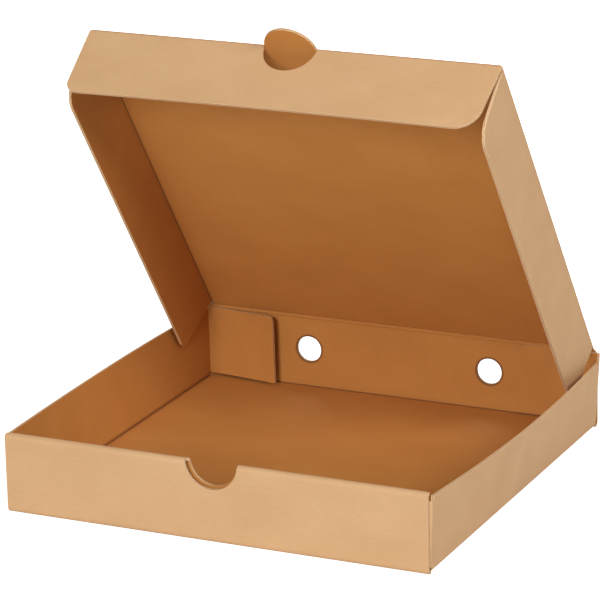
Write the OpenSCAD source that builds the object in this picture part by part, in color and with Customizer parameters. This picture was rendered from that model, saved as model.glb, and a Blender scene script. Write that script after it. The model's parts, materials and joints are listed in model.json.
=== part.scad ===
// Folding pizza box, die-cut from one sheet of corrugated board and standing open.
// Millimetres. The origin is the middle of the underside of the tray.
// X runs to the right, Y to the rear and Z up, seen from the front wall.

/* [Board] */
// Thickness of the corrugated board
board = 1.6; // [1.2:0.1:2.4]
// Inside radius of a wall's bend
bend_r = 1; // [0.6:0.1:1.6]
// Gap along a fold that moves
fold_gap = 0.3; // [0.3:0.05:0.5]
// Die-cut slit between neighbouring panels
slit = 0.3; // [0.2:0.05:0.6]

/* [Tray] */
// Outside width of the base
tray_w = 250; // [220:1:400]
// Outside depth from the front wall to the rear wall
tray_d = 250; // [220:1:400]
// Height of the rolled-over front wall
front_h = 45.4; // [38:0.1:60]
// Length of a side wall up its slope
side_len = 43.5; // [36:0.1:58]
// Outward lean of the side walls in degrees
side_lean = 7; // [0:0.5:9]

/* [Front wall] */
// Hollow between the outer and the inner panel
hollow = 2.2; // [2.2:0.1:4]
// Length of the corner tabs held in the hollow
corner_tab = 38; // [20:1:60]
// Radius of the thumb notch in the outer panel
notch_r = 15.5; // [10:0.5:25]
// Step from the outer notch to the inner one
notch_step = 1; // [0:0.5:4]
// Width of a lock tab under the inner panel
lock_w = 24; // [15:1:40]
// Distance of a lock tab from the middle
lock_x = 60; // [40:1:90]

/* [Rear wall] */
// Diameter of the vent holes
vent_d = 16; // [8:1:24]
// Distance of a vent hole from the middle
vent_x = 58; // [30:1:90]
// Height of the vent holes
vent_z = 25; // [15:1:35]
// Length of the rear corner flaps
rear_flap = 46; // [25:1:70]
// Angle at which the rear corner flaps stand off the rear wall
rear_stand = 8; // [0:0.5:8]

/* [Lid] */
// Opening angle of the lid, where 0 is closed
lid_open = 55.3; // [0:0.1:180]
// Gap over the front wall when the lid is closed
lid_gap = 0.3; // [0.3:0.1:1]
// Length of the lid from its hinge fold to its front fold
lid_len = 241.6; // [200:0.1:390]
// Distance from the middle to a side flap's fold
flap_x = 121.4; // [105:0.1:195]
// Depth of the flaps below the lid
flap_d = 42.5; // [25:0.5:55]
// Inward lean of the front flap in degrees
front_lean = 4; // [3:0.5:6]
// Radius of the thumb tab
tab_r = 15.3; // [10:0.1:24]
// Radius of the front flap's free corners
front_corner = 10; // [2:1:20]
// Taper of the side flaps' ends in degrees
flap_taper = 7.5; // [6:0.5:15]

/* [Hidden] */
$fn = 64;
kraft = [0.76, 0.58, 0.38];
mid = board / 2;
bend_o = bend_r + board;
half_w = tray_w / 2;
half_d = tray_d / 2;
// The corner folds at both ends of a side wall
corner_r = 0.4;
corner_o = corner_r + board;
side_y = half_d - board - slit - corner_o;
// The front wall rolls over a half circle
roll_o = hollow / 2 + board;
roll_y = roll_o - half_d;
roll_z = front_h - roll_o;
inner_y = roll_y + hollow / 2;
inner_x = half_w - bend_o;
// The lid hinges on the middle of the rear wall's top edge
hinge_y = half_d - mid;
hinge_z = front_h + lid_gap + mid;
lid_start = mid + fold_gap;
front_gap = fold_gap + 0.1;
// Height of the notch's middle over the front wall, and the cut round the thumb tab
notch_rise = 0.5;
tab_kerf = 0.5;
// Side walls above their bend, and how far their end pieces are cut back
wall_run = side_len - bend_o;
end_clear = 1;
tab_drop = 3;
flap_drop = 0.5;
// Overlap of the front and rear walls' feet with the base
base_lap = 10;
// Side flaps' ends, measured from the lid's front fold and from its hinge
flap_setback = mid + 0.9;
flap_start = 5;
// How far the front flap's ends stay inside the side flaps' outer faces
flap_inset = 0.2;
// Radii of the corner tabs, of the rear corner flaps and of the side flaps
tab_corner = 6;
rear_corner = 3;
rear_heel = 2;
side_heel = 5;
side_corner = 11;
// Overlap that joins neighbouring forms of one panel
lap = 1;

// Points on an arc round c from angle a1 to a2
function fan(c, r, a1, a2, n = 8) =
    [for (i = [0 : n]) let (a = a1 + (a2 - a1) * i / n) c + r * [cos(a), sin(a)]];

// An outline's right half, closed by its mirror image
function both_halves(half) =
    concat(half, [for (i = [len(half) - 1 : -1 : 0]) [-half[i].x, half[i].y]]);

// Corner i of the outline p, rounded to the radius r[i]
function unit(v) = v / norm(v);
function rounded_corner(p, r, i) =
    let (n = len(p))
    let (a = unit(p[(i + n - 1) % n] - p[i]))
    let (b = unit(p[(i + 1) % n] - p[i]))
    let (half = acos(a * b) / 2)
    let (c = p[i] + unit(a + b) * r[i] / sin(half))
    let (from = p[i] + a * r[i] / tan(half) - c)
    let (start = atan2(from.y, from.x))
    let (turn = sign(a.y * b.x - a.x * b.y) * (180 - 2 * half))
    fan(c, r[i], start, start + turn);
function rounded(p, r) =
    [for (i = [0 : len(p) - 1]) each (r[i] > 0 ? rounded_corner(p, r, i) : [p[i]])];

// A Y-Z outline drawn out along X
module across(x1, x2) {
    translate([x1, 0, 0]) rotate([90, 0, 90]) linear_extrude(x2 - x1) children();
}

// An X-Z outline drawn out along Y
module along(y1, y2) {
    translate([0, y2, 0]) rotate([90, 0, 0]) linear_extrude(y2 - y1) children();
}

// Base and both side walls, bent up from one strip
module base_and_sides() {
    c = [half_w - bend_o, bend_o];
    up = [sin(side_lean), cos(side_lean)];
    out = [cos(side_lean), -sin(side_lean)];
    along(-side_y, side_y) polygon(both_halves(concat(
        fan(c, bend_o, -90, -side_lean),
        [c + bend_o * out + wall_run * up, c + bend_r * out + wall_run * up],
        fan(c, bend_r, -side_lean, -90)
    )));
}

// Thumb notch through the panel that starts at y
module notch(r, y) {
    translate([0, y - 1, front_h + notch_rise]) rotate([-90, 0, 0]) cylinder(r = r, h = roll_o + 2);
}

// Outer front panel, bent up from the base and rolled over as far as its crown
module front_outer() {
    foot = [bend_o - half_d, bend_o];
    roll = [roll_y, roll_z];
    difference() {
        across(-half_w, half_w) polygon(concat(
            [[foot.x + base_lap, board], [foot.x + base_lap, 0]],
            fan(foot, bend_o, 270, 180),
            fan(roll, roll_o, 180, 90),
            fan(roll, hollow / 2, 90, 180),
            fan(foot, bend_r, 180, 270)
        ));
        notch(notch_r, -half_d);
    }
}

// Inner front panel, hanging from the crown, with lock tabs that reach into the base
module front_inner() {
    roll = [roll_y, roll_z];
    difference() {
        across(-inner_x, inner_x) polygon(concat(
            fan(roll, roll_o, 90, 0),
            [[roll_y + roll_o, board + slit], [inner_y, board + slit]],
            fan(roll, hollow / 2, 0, 90)
        ));
        notch(notch_r - notch_step, roll_y);
    }
    for (s = [-1, 1]) {
        translate([s * lock_x - lock_w / 2, inner_y, slit]) cube([lock_w, board, 2 * board]);
    }
}

// Rear wall with its vent holes and the rounded top edge that carries the lid
module rear_wall() {
    foot = [half_d - bend_o, bend_o];
    difference() {
        across(-half_w, half_w) polygon(concat(
            [[foot.x - base_lap, board], [foot.x - base_lap, 0]],
            fan(foot, bend_o, -90, 0),
            fan([hinge_y, hinge_z], mid, 0, 180),
            fan(foot, bend_r, 0, -90)
        ));
        for (s = [-1, 1]) {
            translate([s * vent_x, half_d - board - 1, vent_z])
                rotate([-90, 0, 0]) cylinder(d = vent_d, h = board + 2);
        }
    }
}

// Fold at an end of a side wall, from angle a1 to a2 in plan
module corner_fold(a1, a2, height) {
    linear_extrude(height) polygon(concat(fan([0, 0], corner_o, a1, a2), fan([0, 0], corner_r, a2, a1)));
}

// Right-hand corner pieces: a tab in the front wall's hollow and a flap before the rear wall
module side_ends() {
    fall = tan(side_lean);
    root_x = bend_o - corner_o;
    tab_top = wall_run - tab_drop;
    tab_tip = -corner_tab * fall;
    flap_top = wall_run - flap_drop;
    flap_tip = -rear_flap * fall;
    translate([half_w - bend_o, 0, bend_o]) rotate([0, side_lean, 0]) {
        translate([root_x, -side_y, end_clear]) corner_fold(-90, 0, tab_top - end_clear);
        translate([root_x, -side_y, 0]) along(-corner_o, -corner_r) polygon(rounded([
            [0, end_clear],
            [0, tab_top],
            [-corner_tab, tab_top + tab_tip - tab_drop],
            [-corner_tab, tab_drop + tab_tip]
        ], [0, 0, tab_corner, tab_corner]));
        translate([root_x, side_y, end_clear]) corner_fold(0, 90 + rear_stand, flap_top - end_clear);
        translate([root_x, side_y, 0]) rotate([0, 0, rear_stand]) along(corner_r, corner_o) polygon(rounded([
            [lap / 10, end_clear],
            [lap / 10, flap_top],
            [-rear_flap, flap_top + flap_tip],
            [-rear_flap, end_clear + flap_tip]
        ], [0, 0, rear_corner, rear_heel]));
    }
}

// Tray: base and walls, with slots in the base for the lock tabs
module tray() {
    color(kraft) {
        difference() {
            union() {
                base_and_sides();
                front_outer();
            }
            for (s = [-1, 1]) {
                translate([s * lock_x - lock_w / 2 - slit, inner_y - slit, -1])
                    cube([lock_w + 2 * slit, board + 2 * slit, board + 2]);
            }
        }
        front_inner();
        rear_wall();
        side_ends();
        mirror([1, 0, 0]) side_ends();
    }
}

// The lid's own frame, with the hinge axis at its origin
module on_lid() {
    translate([0, hinge_y, hinge_z]) rotate([-lid_open, 0, 0]) children();
}

// Lid panel with rounded side edges, a rounded front edge and the thumb tab
module lid_panel() {
    color(kraft) on_lid() {
        along(-lid_len, -lid_start) polygon(both_halves(fan([flap_x, -mid], board, 0, 90)));
        for (s = [0, 1]) {
            mirror([s, 0, 0]) across(tab_r + lap, flap_x) polygon(concat(
                fan([-lid_len, 0], mid, 90, 270),
                [[lap - lid_len, -mid], [lap - lid_len, mid]]
            ));
        }
        translate([0, -lid_len, -mid]) linear_extrude(board)
            polygon(concat(fan([0, 0], tab_r, 180, 360, 32), [[tab_r, lap], [-tab_r, lap]]));
    }
}

// Front flap, cut out round the thumb tab
module lid_front_flap() {
    fx = flap_x + board - flap_inset;
    top = -mid - front_gap;
    color(kraft) on_lid() translate([0, -lid_len, 0]) rotate([front_lean, 0, 0]) difference() {
        along(-mid, mid) polygon(rounded([
            [-fx, top],
            [fx, top],
            [fx, -flap_d],
            [-fx, -flap_d]
        ], [0, 0, front_corner, front_corner]));
        rotate([90, 0, 0]) cylinder(r = tab_r + tab_kerf, h = 2 * board, center = true);
    }
}

// Right side flap, its ends tapered and its free corners rounded
module side_flap() {
    top = -mid - fold_gap;
    front = flap_setback - lid_len;
    taper = (flap_d + top) * tan(flap_taper);
    across(flap_x, flap_x + board) polygon(rounded([
        [front, top],
        [-flap_start, top],
        [-flap_start - taper, -flap_d],
        [front + taper, -flap_d]
    ], [0, 0, side_heel, side_corner]));
}

module lid_right_flap() {
    color(kraft) on_lid() side_flap();
}

module lid_left_flap() {
    color(kraft) on_lid() mirror([1, 0, 0]) side_flap();
}

tray();
lid_panel();
lid_front_flap();
lid_left_flap();
lid_right_flap();
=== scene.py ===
import json
from math import cos, pi, radians, sin

import bmesh
import bpy
from mathutils import Matrix, Vector


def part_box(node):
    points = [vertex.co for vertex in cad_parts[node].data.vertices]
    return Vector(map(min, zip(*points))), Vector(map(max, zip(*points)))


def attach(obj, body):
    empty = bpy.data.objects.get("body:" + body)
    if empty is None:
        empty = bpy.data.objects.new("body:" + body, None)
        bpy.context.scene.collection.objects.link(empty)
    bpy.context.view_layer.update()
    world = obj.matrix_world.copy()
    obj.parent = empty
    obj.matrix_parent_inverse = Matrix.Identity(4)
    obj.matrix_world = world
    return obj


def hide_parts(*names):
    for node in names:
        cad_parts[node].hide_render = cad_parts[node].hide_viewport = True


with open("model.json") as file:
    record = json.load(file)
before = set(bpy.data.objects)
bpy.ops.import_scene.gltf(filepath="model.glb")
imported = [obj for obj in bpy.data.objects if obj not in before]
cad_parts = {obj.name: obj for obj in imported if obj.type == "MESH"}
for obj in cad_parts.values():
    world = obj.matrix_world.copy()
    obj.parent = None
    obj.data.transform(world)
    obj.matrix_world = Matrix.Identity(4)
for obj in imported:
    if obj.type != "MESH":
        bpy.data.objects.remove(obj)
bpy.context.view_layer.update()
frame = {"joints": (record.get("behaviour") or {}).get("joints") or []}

# Kraft liner: the brown paper on both faces of the board, unbleached and uncoated. Its pulp clouds and
# fibres run along the web, the flutes inside show through as a faint washboard, and creases and vent rims
# get painted shade.
FLUTE_PITCH = 0.0032
OUTSIDE_LIGHT = (0.600, 0.370, 0.190, 1)
OUTSIDE_DARK = (0.520, 0.305, 0.145, 1)
# The inside faces take a darker, redder copy of the outside paper: painted shade for the shaded inside of
# the box.
SHADED_INSIDE_LIGHT = (0.530, 0.228, 0.052, 1)
SHADED_INSIDE_DARK = (0.455, 0.178, 0.036, 1)
FIBRE_DARK = (0.28, 0.130, 0.050, 1)
# Painted shade: the creases and vent rims are darkened towards this colour.
PAINTED_CREASE_SHADE = (0.16, 0.055, 0.014, 1)
CLOUDS = {"scale": 22, "stretch": (1, 1.6, 1), "detail": 4}
STREAKS = {"scale": 260, "stretch": (1, 7, 1), "detail": 5}
FIBRES = {"scale": 1500, "stretch": (1, 3.2, 1), "detail": 3, "roughness": 0.7}
CLOUD_TONE, STREAK_TONE, FLUTE_TONE = 0.55, 0.45, 0.012
TONE_SPAN, FIBRE_SPAN, ROUGH_SPAN = (0.30, 0.70), (0.60, 0.80), (0.3, 0.7)
FIBRE_DEPTH, STREAK_DEPTH, FLUTE_DEPTH = 0.45, 0.35, 0.10
FIBRE_COVER = 0.55
SMOOTHEST, ROUGHEST = 0.70, 0.84
PAPER_SHEEN = 0.38
PAPER_GRAIN = {"Strength": 0.35, "Distance": 0.00012}


def feed(tree, node, inputs):
    for name, value in inputs.items():
        if isinstance(value, bpy.types.NodeSocket):
            tree.links.new(value, node.inputs[name])
        else:
            node.inputs[name].default_value = value


def add_node(tree, kind, inputs=None, **settings):
    node = tree.nodes.new(kind)
    for name, value in settings.items():
        setattr(node, name, value)
    feed(tree, node, inputs or {})
    return node


def noise_on(tree, vector, scale, stretch, detail, roughness=0.55):
    stretched = add_node(tree, "ShaderNodeMapping", {"Vector": vector, "Scale": stretch})
    return add_node(tree, "ShaderNodeTexNoise", {
        "Vector": stretched.outputs["Vector"], "Scale": scale, "Detail": detail, "Roughness": roughness,
    }).outputs["Fac"]


def ramp_between(tree, value, low, high, to_low=0.0, to_high=1.0):
    return add_node(tree, "ShaderNodeMapRange", {
        "Value": value, "From Min": low, "From Max": high, "To Min": to_low, "To Max": to_high,
    }).outputs["Result"]


def mix_colours(tree, factor, first, second):
    # The sockets of a colour mix share their names with other types, so they go by number.
    return add_node(tree, "ShaderNodeMix", {0: factor, 6: first, 7: second}, data_type="RGBA").outputs[2]


def calculate(tree, operation, *values):
    return add_node(tree, "ShaderNodeMath", dict(enumerate(values)), operation=operation).outputs[0]


def add_up(tree, *shares):
    total = 0.0
    for value, share in shares:
        total = calculate(tree, "MULTIPLY_ADD", value, share, total)
    return total


def make_kraft_paper():
    group = bpy.data.node_groups.new("kraft_paper", "ShaderNodeTree")
    for name in ("Light", "Dark"):
        group.interface.new_socket(name, in_out="INPUT", socket_type="NodeSocketColor")
    group.interface.new_socket("Colour", in_out="OUTPUT", socket_type="NodeSocketColor")
    for name in ("Roughness", "Height"):
        group.interface.new_socket(name, in_out="OUTPUT", socket_type="NodeSocketFloat")
    pulp = add_node(group, "NodeGroupInput").outputs
    sheet = add_node(group, "ShaderNodeUVMap", uv_map="blank").outputs["UV"]
    crease_shade = add_node(group, "ShaderNodeAttribute", attribute_name="crease").outputs["Fac"]
    clouds = noise_on(group, sheet, **CLOUDS)
    streaks = noise_on(group, sheet, **STREAKS)
    fibres = noise_on(group, sheet, **FIBRES)
    across = add_node(group, "ShaderNodeSeparateXYZ", {"Vector": sheet}).outputs["Y"]
    flutes = calculate(group, "SINE", calculate(group, "MULTIPLY", across, 2 * pi / FLUTE_PITCH))
    tone = add_up(group, (clouds, CLOUD_TONE), (streaks, STREAK_TONE), (flutes, FLUTE_TONE))
    colour = mix_colours(group, ramp_between(group, tone, *TONE_SPAN), pulp["Dark"], pulp["Light"])
    hairs = ramp_between(group, fibres, *FIBRE_SPAN, 0.0, FIBRE_COVER)
    colour = mix_colours(group, hairs, colour, FIBRE_DARK)
    # Painted shade: darkens the paper where the creases and vent rims are marked.
    colour = mix_colours(group, crease_shade, colour, PAINTED_CREASE_SHADE)
    rough = ramp_between(group, streaks, *ROUGH_SPAN, SMOOTHEST, ROUGHEST)
    height = add_up(group, (fibres, FIBRE_DEPTH), (streaks, STREAK_DEPTH), (flutes, FLUTE_DEPTH))
    add_node(group, "NodeGroupOutput", {"Colour": colour, "Roughness": rough, "Height": height})
    return group


kraft_paper = make_kraft_paper()


def new_material(name):
    material = bpy.data.materials.new(name)
    material.use_nodes = True
    return material, material.node_tree, material.node_tree.nodes["Principled BSDF"]


def make_liner(name, light, dark):
    material, tree, shader = new_material(name)
    paper = add_node(tree, "ShaderNodeGroup", {"Light": light, "Dark": dark}, node_tree=kraft_paper).outputs
    bump = add_node(tree, "ShaderNodeBump", {"Height": paper["Height"], **PAPER_GRAIN})
    feed(tree, shader, {
        "Base Color": paper["Colour"], "Roughness": paper["Roughness"], "Normal": bump.outputs["Normal"],
        "Specular IOR Level": PAPER_SHEEN,
    })
    return material


outside_liner = make_liner("kraft_outside", OUTSIDE_LIGHT, OUTSIDE_DARK)
# Painted shade: the inside faces get the darker, redder copy of the paper.
shaded_inside_liner = make_liner("kraft_inside_shaded", SHADED_INSIDE_LIGHT, SHADED_INSIDE_DARK)

# Cut edge: where the die has cut the sheet, the two liners show with the fluted paper waving between
# them, and painted shade fills the hollows of the flutes. The wave is cut across on edges that cross the
# flutes.
BOARD = 0.0016
LINER_SHARE, LINER_BLUR = 0.2, 0.04
MEDIUM_SHARE, MEDIUM_BLUR = 0.13, 0.08
PALE_SHARE = 0.7
EDGE_PALE = (0.77, 0.54, 0.33, 1)
FLUTE_SHADE = (0.45, 0.26, 0.125, 1)
FLUTE_RELIEF = {"Strength": 0.3, "Distance": 0.0002}
EDGE_ROUGHNESS, EDGE_SHEEN = 0.88, 0.08
board_edge, tree, shader = new_material("board_edge")
sheet_place = add_node(tree, "ShaderNodeUVMap", uv_map="blank").outputs["UV"]
cut = add_node(tree, "ShaderNodeSeparateXYZ", {"Vector": sheet_place}).outputs
level = calculate(tree, "MULTIPLY", cut["Y"], 1 / BOARD)
wave = calculate(tree, "SINE", calculate(tree, "MULTIPLY", cut["X"], 2 * pi / FLUTE_PITCH))
wave = calculate(tree, "MULTIPLY_ADD", wave, 0.5 - LINER_SHARE, 0.5)
off_medium = calculate(tree, "ABSOLUTE", calculate(tree, "SUBTRACT", level, wave))
off_middle = calculate(tree, "ABSOLUTE", calculate(tree, "SUBTRACT", level, 0.5))
medium = ramp_between(tree, off_medium, MEDIUM_SHARE, MEDIUM_SHARE + MEDIUM_BLUR, 1.0, 0.0)
liner_start = 0.5 - LINER_SHARE
liner = ramp_between(tree, off_middle, liner_start - LINER_BLUR, liner_start + LINER_BLUR)
solid_paper = calculate(tree, "MAXIMUM", medium, liner)
pulp = {"Light": OUTSIDE_LIGHT, "Dark": OUTSIDE_DARK}
paper = add_node(tree, "ShaderNodeGroup", pulp, node_tree=kraft_paper)
pale = mix_colours(tree, PALE_SHARE, paper.outputs["Colour"], EDGE_PALE)
bump = add_node(tree, "ShaderNodeBump", {"Height": solid_paper, **FLUTE_RELIEF})
feed(tree, shader, {
    "Base Color": mix_colours(tree, solid_paper, FLUTE_SHADE, pale), "Normal": bump.outputs["Normal"],
    "Roughness": EDGE_ROUGHNESS, "Specular IOR Level": EDGE_SHEEN,
})

# Tray: base, walls, corner pieces and the rolled front wall, die-cut flat as one stretch of the sheet
# and then folded. Here too it is cut flat, given its thickness and folded crease by crease.
joints = {joint["name"]: joint for joint in frame["joints"]}
hinge = Vector(joints["lid_hinge"]["pos_m"])
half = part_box("tray")[1].y
slit = 0.0003
bend_out = 0.0026
bend_mid = bend_out - BOARD / 2
foot = half - bend_out
foot_arc = bend_mid * pi / 2
foot_groove, foot_shade_inset = 0.0003, 0.0005
front_height = 0.0454
hollow = 0.0022
roll_out = hollow / 2 + BOARD
roll_arc = pi * (roll_out - BOARD / 2)
roll_start = foot + foot_arc + front_height - roll_out - bend_out
crown = roll_start + roll_arc / 2
inner_end = roll_start + roll_arc + front_height - roll_out - BOARD - slit
inner_row = 0.0135
lock_x, lock_half = 0.060, 0.012
lock_end = inner_end + BOARD
slot_front = half - roll_out - hollow / 2 + slit
slot_rear = slot_front - BOARD - 2 * slit
rear_top = foot + foot_arc + hinge.z - bend_out
rear_corner_radius = 0.004
side_height = 0.0409
side_foot = foot + bend_mid * radians(83)
side_top = side_foot + side_height
side_groove, side_shade_inset = 0.0008, 0.0008
corner_out = 0.002
corner_arc = (corner_out - BOARD / 2) * pi / 2
corner_row = 0.0115
corner_step = 0.001
side_end = half - BOARD - slit - corner_out
tab_end = side_end + corner_arc + 0.038
tab_drop, tab_corner_radius = 0.003, 0.006
flap_end = side_end + corner_arc + 0.046
flap_rise, flap_corner_radius = 0.0016, 0.003
right_flap_angle, left_flap_angle = radians(90.4), radians(98)
vent_x, vent_y = 0.058, foot + foot_arc + 0.025 - bend_out
vent_radius, vent_cell = 0.0078, 0.012
notch_radius, inner_notch_radius, notch_cell = 0.0155, 0.0145, 0.019
hole_rim = 0.0008
# How far each side wall's top bows out: the most, the place of that, and at the front and rear end.
right_bow = (0.0092, 0.010, 0.0020, 0.0026)
left_bow = (0.0052, 0.015, 0.0020, 0.0006)
bow_height = 0.0425
press_down = 0.0034
bead_back, bead_inset = 0.0007, 0.006
# Painted shade strengths for creases and vent rims: strong on the inside faces, faint on the outside.
INSIDE_CREASE_SHADE, OUTSIDE_CREASE_SHADE = 0.8, 0.1
CUT_SOFTNESS, CUT_ANGLE = 0.00018, radians(50)
CREASE_EDGE, CREASE_ROOM = 0.0012, 0.002
GRID = 0.0125
HAIR, CUT_NEAR, MERGE_NEAR = 1e-6, 1e-7, 2e-6


def add_panel(bm, x1, x2, y1, y2, rounded=None):
    corners = [bm.verts.new((x, y, 0)) for x, y in ((x1, y1), (x2, y1), (x2, y2), (x1, y2))]
    bm.faces.new(corners).normal_update()
    for index, radius in (rounded or {}).items():
        bmesh.ops.bevel(
            bm, geom=[corners[index]], offset=radius, offset_type="OFFSET", segments=8, profile=0.5,
            affect="VERTICES", material=-1,
        )


def everything(bm):
    return bm.verts[:] + bm.edges[:] + bm.faces[:]


def cut_sheet(bm, axis, places):
    normal = Vector((1, 0, 0)) if axis == "x" else Vector((0, 1, 0))
    for place in places:
        bmesh.ops.bisect_plane(
            bm, geom=everything(bm), dist=CUT_NEAR, plane_co=normal * place, plane_no=normal,
        )


def both_sides(places):
    return [sign * place for sign in (-1, 1) for place in places]


def grid_places(low, high, creases):
    count = max(1, round((high - low) / GRID))
    even = [low + (high - low) * i / count for i in range(1, count)]
    return [place for place in even if all(abs(place - c) > CREASE_ROOM for c in creases)] + list(creases)


def arc_places(start, length, steps=6):
    bend = [start + length * i / steps for i in range(steps + 1)]
    return bend + [start - CREASE_EDGE, start + length + CREASE_EDGE]


def merge(bm):
    bmesh.ops.remove_doubles(bm, verts=bm.verts[:], dist=MERGE_NEAR)


def faces_within(bm, x1, x2, y1, y2):
    centres = [(face, face.calc_center_median()) for face in bm.faces]
    return [face for face, c in centres if x1 < c.x < x2 and y1 < c.y < y2]


def only(kind, items):
    return [item for item in items if isinstance(item, kind)]


def open_edges(items):
    return [edge for edge in only(bmesh.types.BMEdge, items) if len(edge.link_faces) == 1]


def punch_hole(bm, x, y, cell, radius, lower_radius=None):
    middle = Vector((x, y, 0))
    cut_sheet(bm, "x", (x - cell, x + cell))
    cut_sheet(bm, "y", (y - cell, y + cell))
    merge(bm)
    waste = faces_within(bm, x - cell, x + cell, y - cell, y + cell)
    bmesh.ops.delete(bm, geom=waste, context="FACES")
    rim = [
        edge for edge in open_edges(bm.edges)
        if all(max(abs(v.co.x - x), abs(v.co.y - y)) < cell + HAIR for v in edge.verts)
    ]
    rim = open_edges(bmesh.ops.subdivide_edges(bm, edges=rim, cuts=11)["geom_split"])
    for margin in (2 * hole_rim, hole_rim, 0.0):
        ring = bmesh.ops.extrude_edge_only(bm, edges=rim)["geom"]
        for vert in only(bmesh.types.BMVert, ring):
            away = vert.co - middle
            is_lower = lower_radius and away.y < -HAIR
            vert.co = middle + away.normalized() * ((lower_radius if is_lower else radius) + margin)
        rim = open_edges(ring)


def thicken(bm):
    bmesh.ops.recalc_face_normals(bm, faces=bm.faces[:])
    if sum(face.normal.z for face in bm.faces) < 0:
        bmesh.ops.reverse_faces(bm, faces=bm.faces[:])
    grown = bmesh.ops.extrude_face_region(bm, geom=bm.faces[:])["geom"]
    bmesh.ops.translate(bm, vec=(0, 0, BOARD), verts=only(bmesh.types.BMVert, grown))
    bmesh.ops.recalc_face_normals(bm, faces=bm.faces[:])
    blank = bm.loops.layers.uv.new("blank")
    for face in bm.faces:
        face.smooth = True
        is_edge = abs(face.normal.z) < 0.5
        face.material_index = 2 if is_edge else int(face.normal.z > 0)
        for loop in face.loops:
            place = loop.vert.co
            loop[blank].uv = (place.y, place.z) if is_edge else (place.x, place.y)


# Marks painted shade along the given folds and rims, strong on the inside faces and faint on the outside.
def mark_creases(bm, marks):
    crease = bm.verts.layers.float.new("crease")
    for vert in bm.verts:
        if any(low - 1e-5 <= measure(vert.co) <= high + 1e-5 for measure, low, high in marks):
            vert[crease] = INSIDE_CREASE_SHADE if vert.co.z > BOARD / 2 else OUTSIDE_CREASE_SHADE


def fold(start, along, height, outer, angle, groove=0.0, rigid=False):
    past = along - start
    if past <= 0 and not rigid:
        return along, height
    middle = outer - BOARD / 2
    turn = angle if rigid else min(past, angle * middle) / middle
    rest = past - turn * middle
    radius = outer - height
    if abs(height - BOARD) < HAIR:
        radius += groove * sin(pi * turn / angle)
    return start + radius * sin(turn) + rest * cos(turn), outer - radius * cos(turn) + rest * sin(turn)


def side_lean(x, y):
    peak, middle, front, rear = right_bow if x > 0 else left_bow
    place = min(max(y, -side_end), side_end) - middle
    reach, end = (side_end - middle, rear) if place > 0 else (side_end + middle, front)
    return (peak - (peak - end) * (place / reach) ** 2) / bow_height


def fold_side(x, y, height):
    side, end = (1 if x > 0 else -1), (1 if y > 0 else -1)
    lean = side_lean(x, y)
    along = abs(x)
    is_corner = abs(y) > side_end + HAIR
    if x > side_foot and 0 < y < side_end + HAIR:
        along -= press_down * (y / side_end) ** 2 * (along - side_foot) / (side_top - side_foot)
    if is_corner:
        along -= max(abs(y) - side_end - corner_arc, 0.0) * lean
        rear_angle = right_flap_angle if x > 0 else left_flap_angle
        reach, height = fold(side_end, abs(y), height, corner_out, pi / 2 if end < 0 else rear_angle)
        y = end * reach
    along, height = fold(foot, along, height, bend_out, pi / 2 - lean, side_groove, is_corner)
    return Vector((side * along, y, height))


def fold_tray(place):
    x, y, height = place
    if abs(x) > foot + HAIR and abs(y) < side_end + HAIR or abs(x) > side_foot:
        return fold_side(x, y, height)
    if y < 0:
        along, height = fold(roll_start, -y, height, roll_out, pi)
        along, height = fold(foot, along, height, bend_out, pi / 2)
        return Vector((x, -along, height))
    along, height = fold(foot, y, height, bend_out, pi / 2, foot_groove)
    return Vector((x, along, height))


# A crease bead, darkened with the given amount of painted shade.
def add_crease_bead(bm, middle, length, radius, crease_shade):
    turn = Matrix.Translation(middle) @ Matrix.Rotation(pi / 2, 4, "Y")
    bead = bmesh.ops.create_cone(
        bm, cap_ends=True, segments=20, radius1=radius, radius2=radius, depth=length, matrix=turn,
    )
    crease = bm.verts.layers.float["crease"]
    blank = bm.loops.layers.uv["blank"]
    for vert in bead["verts"]:
        vert[crease] = crease_shade
    for face in {face for vert in bead["verts"] for face in vert.link_faces}:
        face.smooth = True
        face.material_index = 1
        for loop in face.loops:
            loop[blank].uv = (loop.vert.co.x, loop.vert.co.y + loop.vert.co.z)


def make_piece(name, bm, body, *nodes):
    mesh = bpy.data.meshes.new(name)
    bm.to_mesh(mesh)
    bm.free()
    piece = bpy.data.objects.new(name, mesh)
    bpy.context.scene.collection.objects.link(piece)
    for material in (outside_liner, shaded_inside_liner, board_edge):
        mesh.materials.append(material)
    soften = piece.modifiers.new("soft_cut", "BEVEL")
    soften.width = CUT_SOFTNESS
    soften.segments = 2
    soften.limit_method = "ANGLE"
    soften.angle_limit = CUT_ANGLE
    soften.harden_normals = True
    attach(piece, body)
    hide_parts(*nodes)


sheet = bmesh.new()
add_panel(sheet, -foot, foot, -foot, foot)
add_panel(sheet, -half, half, -crown, -foot)
add_panel(sheet, -foot, foot, -inner_end, -crown)
add_panel(sheet, -half, half, foot, rear_top, {2: rear_corner_radius})
for side in (-1, 1):
    add_panel(sheet, side * lock_x - lock_half, side * lock_x + lock_half, -lock_end, -inner_end)
    add_panel(sheet, *sorted((side * foot, side * side_top)), -side_end, side_end)
    for end in (-1, 1):
        lug = sorted((end * (side_end + slit), end * foot))
        add_panel(sheet, *sorted((side * foot, side * half)), *lug)
    tab = sorted((side * (side_foot + corner_step), side * (side_top - tab_drop)))
    add_panel(sheet, *tab, -tab_end, -side_end, {0: tab_corner_radius, 1: tab_corner_radius})
    flap = sorted((side * (side_foot + corner_step), side * (side_top + flap_rise)))
    add_panel(sheet, *flap, side_end, flap_end, {2 if side > 0 else 3: flap_corner_radius})
for side in (-1, 1):
    punch_hole(sheet, side * vent_x, vent_y, vent_cell, vent_radius)
punch_hole(sheet, 0, -crown, notch_cell, notch_radius, inner_notch_radius)
slots = [side * lock_x + edge * (lock_half + slit) for side in (-1, 1) for edge in (-1, 1)]
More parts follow.
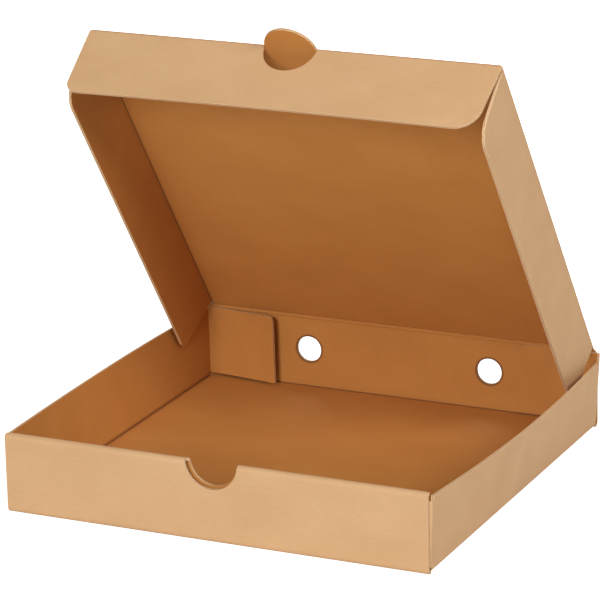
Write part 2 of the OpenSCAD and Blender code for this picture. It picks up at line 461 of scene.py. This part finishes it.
cut_sheet(sheet, "x", grid_places(-foot, foot, slots) + both_sides(arc_places(foot, side_foot - foot)))
cut_sheet(sheet, "x", both_sides([side_foot + side_height * i / 4 for i in (1, 2, 3)]))
cut_sheet(sheet, "y", grid_places(-foot, foot, [-slot_front, -slot_rear]))
cut_sheet(sheet, "y", both_sides(arc_places(foot, foot_arc)))
cut_sheet(sheet, "y", [-place for place in arc_places(roll_start, roll_arc, 12)])
cut_sheet(sheet, "y", both_sides(arc_places(side_end, corner_arc, 4)))
cut_sheet(sheet, "y", [-(roll_start + roll_arc + inner_row * i) for i in (1, 2)])
cut_sheet(sheet, "y", both_sides([side_end + corner_arc + corner_row * i for i in (1, 2, 3)]))
merge(sheet)
for side in (-1, 1):
    low, high = side * lock_x - lock_half - slit, side * lock_x + lock_half + slit
    slot = faces_within(sheet, low, high, -slot_front, -slot_rear)
    bmesh.ops.delete(sheet, geom=slot, context="FACES")
thicken(sheet)
# Painted shade along the tray's side and floor folds and round the vent rims.
mark_creases(sheet, [
    (lambda p: abs(p.x) * (abs(p.y) < side_end + 1e-4), foot + side_shade_inset, side_foot - side_shade_inset),
    (lambda p: abs(p.y) * (abs(p.x) < foot + 1e-4), foot + foot_shade_inset, foot + foot_arc - foot_shade_inset),
    (lambda p: Vector((abs(p.x) - vent_x, p.y - vent_y)).length, 0.0, vent_radius + hole_rim),
])
for vert in sheet.verts:
    vert.co = fold_tray(vert.co)
bead_middle = hinge - Vector((0, bead_back, BOARD))
add_crease_bead(sheet, bead_middle, 2 * (half - bead_inset), BOARD / 2, 0.0)
make_piece("tray_board", sheet, "tray", "tray")

# Lid panel: the flat top with its half-round thumb tab. Its rear edge is creased to the rear wall, its
# side edges turn down into the flaps, and a rolled crease runs along its front edge.
lid_angle = radians(-joints["lid_hinge"]["range_deg"][0])
front_fold = Vector(joints["front_flap_fold"]["pos_m"])
lid_length = (front_fold - hinge).length
flap_x = joints["right_flap_fold"]["pos_m"][0]
edge_arc = BOARD / 2 * pi / 2
knuckle_gap = 2e-5
tab_radius = 0.0153
dome_height = 0.0007
# Painted shade reaches a little onto the lid at its side folds and darkens its rear and front crease beads.
edge_row, edge_shade_reach = 0.004, 0.0002
rear_bead_inset, rear_bead_radius, rear_bead_shade = 0.004, 0.00079, 0.6
front_bead_shade = 0.3


def to_lid(x, along, height):
    return hinge + Matrix.Rotation(-lid_angle, 3, "X") @ Vector((x, -along, BOARD / 2 - height))


def trim_rear(bm, geom, y):
    bmesh.ops.bisect_plane(
        bm, geom=geom, dist=CUT_NEAR, plane_co=(0, y, 0), plane_no=(0, 1, 0), clear_inner=True,
    )


sheet = bmesh.new()
add_panel(sheet, -flap_x - edge_arc, flap_x + edge_arc, 0, lid_length)
cut_sheet(sheet, "x", (-tab_radius, tab_radius))
tab_arc = bmesh.ops.create_circle(
    sheet, cap_ends=True, segments=48, radius=tab_radius, matrix=Matrix.Translation((0, lid_length, 0)),
)["verts"]
disc = {face for vert in tab_arc for face in vert.link_faces}
trim_rear(sheet, list(tab_arc) + [edge for face in disc for edge in face.edges] + list(disc), lid_length)
merge(sheet)
edge_bend = [flap_x + edge_arc * i / 6 for i in range(6)] + [flap_x - CREASE_EDGE, flap_x - edge_row]
cut_sheet(sheet, "x", grid_places(-flap_x, flap_x, ()) + both_sides(edge_bend))
cut_sheet(sheet, "y", grid_places(0, lid_length, (CREASE_EDGE, lid_length - CREASE_EDGE)))
thicken(sheet)
# Painted shade along the lid's side folds and its rear edge.
mark_creases(sheet, [
    (lambda p: abs(p.x), flap_x - edge_shade_reach, 1.0),
    (lambda p: p.y, -1.0, 0.0),
])
for vert in sheet.verts:
    x, along, height = vert.co
    dome = dome_height * (1 - (x / flap_x) ** 2) * sin(pi * min(along / lid_length, 1.0))
    reach, height = fold(flap_x, abs(x), height, BOARD + knuckle_gap, pi / 2)
    vert.co = to_lid(reach if x > 0 else -reach, along, height - dome)
rear_bead = 2 * (half - rear_bead_inset)
add_crease_bead(sheet, to_lid(0, 0, BOARD / 2), rear_bead, rear_bead_radius, rear_bead_shade)
add_crease_bead(sheet, to_lid(0, lid_length, BOARD / 2), 2 * flap_x, BOARD / 2, front_bead_shade)
make_piece("lid_board", sheet, "lid_panel", "lid_panel")

# Front flap: hangs from the lid's front fold, with its free corners rounded and a half circle cut out
# where the thumb tab was left on the lid. It bulges a little towards the front along its free edge.
flap_depth = 0.0425
flap_rows = [flap_depth * i / 5 for i in (1, 2, 3, 4)]
front_lean = radians(joints["front_flap_fold"]["range_deg"][1] - 90)
front_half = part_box("lid_front_flap")[1].x
front_taper = 0.027
front_bulge = 0.0014
right_front_radius, left_front_radius = 0.013, 0.007
cut_out = tab_radius + 0.0005
waste = 0.025
sheet = bmesh.new()
rounded = {2: right_front_radius, 3: left_front_radius}
add_panel(sheet, -front_half, front_half, -waste, flap_depth, rounded)
punch_hole(sheet, 0, 0, notch_cell, cut_out)
trim_rear(sheet, everything(sheet), 0)
cut_sheet(sheet, "x", grid_places(-front_half, front_half, ()))
cut_sheet(sheet, "y", [CREASE_EDGE] + flap_rows)
merge(sheet)
thicken(sheet)
# Painted shade along the front flap's fold.
mark_creases(sheet, [(lambda p: p.y, -1.0, 1e-5)])
hang = Matrix.Rotation(front_lean, 3, "X")
for vert in sheet.verts:
    x, down, height = vert.co
    x -= front_taper * max(x, 0.0) * down / flap_depth
    bulge = front_bulge * (1 - (x / front_half) ** 2) * (down / flap_depth) ** 2
    local = hang @ Vector((x, height - BOARD / 2 - bulge, -down)) - Vector((0, lid_length, 0))
    vert.co = to_lid(local.x, -local.y, BOARD / 2 - local.z)
make_piece("lid_front_flap_board", sheet, "lid_front_flap", "lid_front_flap")

# Side flaps: hang from the lid's side folds and tuck inside the side walls. The left one tapers at both
# ends and the right one at its front, and their free corners are rounded, so that they slip into the tray.
flap_room = 0.0009
flap_front = lid_length - BOARD / 2 - flap_room
front_end_taper = 0.1317
splay = radians(0.5)
knuckle_turn = radians(74)
front_corner_radius, rear_flap_radius = 0.011, 0.005
for side, name, flap_start, rear_taper in (
    (-1, "lid_left_flap", 0.0034, 0.1317), (1, "lid_right_flap", 0.0031, 0.008),
):
    sheet = bmesh.new()
    rounded = {2: front_corner_radius, 1: rear_flap_radius}
    add_panel(sheet, 0, flap_depth - BOARD / 2, flap_start, flap_front, rounded)
    cut_sheet(sheet, "y", grid_places(flap_start, flap_front, ()))
    cut_sheet(sheet, "x", [CREASE_EDGE, edge_row] + flap_rows)
    merge(sheet)
    thicken(sheet)
    # Painted shade along the side flap's fold.
    mark_creases(sheet, [(lambda p: p.x, -1.0, 1e-5)])
    for vert in sheet.verts:
        down, along, height = vert.co
        share = (along - flap_start) / (flap_front - flap_start)
        along += down * (rear_taper * (1 - share) - front_end_taper * share)
        reach = flap_x + BOARD - height + down * sin(splay)
        vert.co = to_lid(side * reach, along, BOARD + down * cos(splay))
    sheet.normal_update()
    knuckle = [
        sheet.verts.new(to_lid(side * (flap_x + reach), flap_start, BOARD))
        for reach in (knuckle_gap, BOARD - 5e-5)
    ]
    bar = bmesh.ops.extrude_edge_only(sheet, edges=[sheet.edges.new(knuckle)])["geom"]
    along_lid = to_lid(0, flap_front, 0) - to_lid(0, flap_start, 0)
    bmesh.ops.translate(sheet, vec=along_lid, verts=only(bmesh.types.BMVert, bar))
    strip = only(bmesh.types.BMFace, bar)
    bmesh.ops.spin(
        sheet, geom=strip + [e for f in strip for e in f.edges] + [v for f in strip for v in f.verts],
        cent=to_lid(side * flap_x, 0, BOARD), axis=along_lid.normalized(), angle=side * knuckle_turn,
        steps=8,
    )
    bmesh.ops.recalc_face_normals(sheet, faces=sheet.faces[:])
    make_piece(name + "_board", sheet, name, name)

# Studio: the box stands on a plain white floor that runs out of view, in the light of four large soft
# lamps: a low one in front, one above on the right, one at the right-hand side and one behind.
WHITE = (1, 1, 1, 1)
FLOOR_WHITE = (0.80, 0.80, 0.80, 1)
FLOOR_ROUGHNESS = 0.9
FLOOR_GLOW = 0.85
FLOOR_SIZE = 30
FLOOR_GAP = 0.0002
STUDIO_FILL = 0.02
lamp_aim = Vector((0, 0, 0.1))


def rays_that_see_white(tree):
    path = add_node(tree, "ShaderNodeLightPath").outputs
    reflected = calculate(tree, "MAXIMUM", path["Is Glossy Ray"], path["Is Transmission Ray"])
    return calculate(tree, "MAXIMUM", path["Is Camera Ray"], reflected)


white_floor, tree, shader = new_material("white_floor")
feed(tree, shader, {
    "Base Color": FLOOR_WHITE, "Roughness": FLOOR_ROUGHNESS, "Emission Color": WHITE,
    "Emission Strength": calculate(tree, "MULTIPLY", rays_that_see_white(tree), FLOOR_GLOW),
})
ground = bmesh.new()
bmesh.ops.create_grid(
    ground, x_segments=1, y_segments=1, size=FLOOR_SIZE, matrix=Matrix.Translation((0, 0, -FLOOR_GAP)),
)
mesh = bpy.data.meshes.new("floor")
ground.to_mesh(mesh)
ground.free()
mesh.materials.append(white_floor)
floor = bpy.data.objects.new("floor", mesh)
bpy.context.scene.collection.objects.link(floor)

world = bpy.data.worlds.new("studio")
bpy.context.scene.world = world
world.use_nodes = True
tree = world.node_tree
strength = ramp_between(tree, rays_that_see_white(tree), 0, 1, STUDIO_FILL, 1.0)
feed(tree, tree.nodes["Background"], {"Color": WHITE, "Strength": strength})

for name, place, size, power in (
    ("key_front", (0, -2.35, 0.96), 1.0, 40),
    ("top_right", (0.92, -1.32, 2.02), 1.0, 15.5),
    ("side_right", (2.09, -0.56, 1.35), 1.0, 30),
    ("back", (-0.45, 2.23, 1.14), 2.2, 30),
):
    lamp = bpy.data.lights.new(name, "AREA")
    lamp.shape = "DISK"
    lamp.size = size
    lamp.energy = power
    light = bpy.data.objects.new(name, lamp)
    light.location = place
    light.rotation_euler = (lamp_aim - Vector(place)).to_track_quat("-Z", "Y").to_euler()
    bpy.context.scene.collection.objects.link(light)

# Camera: the photograph's viewpoint, a long lens a little above the box and to its right, held very
# slightly out of level. It sees the box as the photograph does.
azimuth, elevation, roll = radians(25.467), radians(17.561), radians(1.356)
camera_place = (0.80013, -1.68962, 0.69059)
back = Vector((sin(azimuth) * cos(elevation), -cos(azimuth) * cos(elevation), sin(elevation)))
level_right = (-back).cross(Vector((0, 0, 1))).normalized()
level_down = (-back).cross(level_right)
right = cos(roll) * level_right + sin(roll) * level_down
down = cos(roll) * level_down - sin(roll) * level_right
view = Matrix((right, -down, back)).transposed().to_4x4()
view.translation = camera_place
lens = bpy.data.cameras.new("photo_view")
lens.sensor_width = 36
lens.lens = 211.99
camera = bpy.data.objects.new("photo_view", lens)
camera.matrix_world = view
bpy.context.scene.collection.objects.link(camera)
bpy.context.scene.camera = camera
bpy.context.scene.view_settings.view_transform = "Standard"
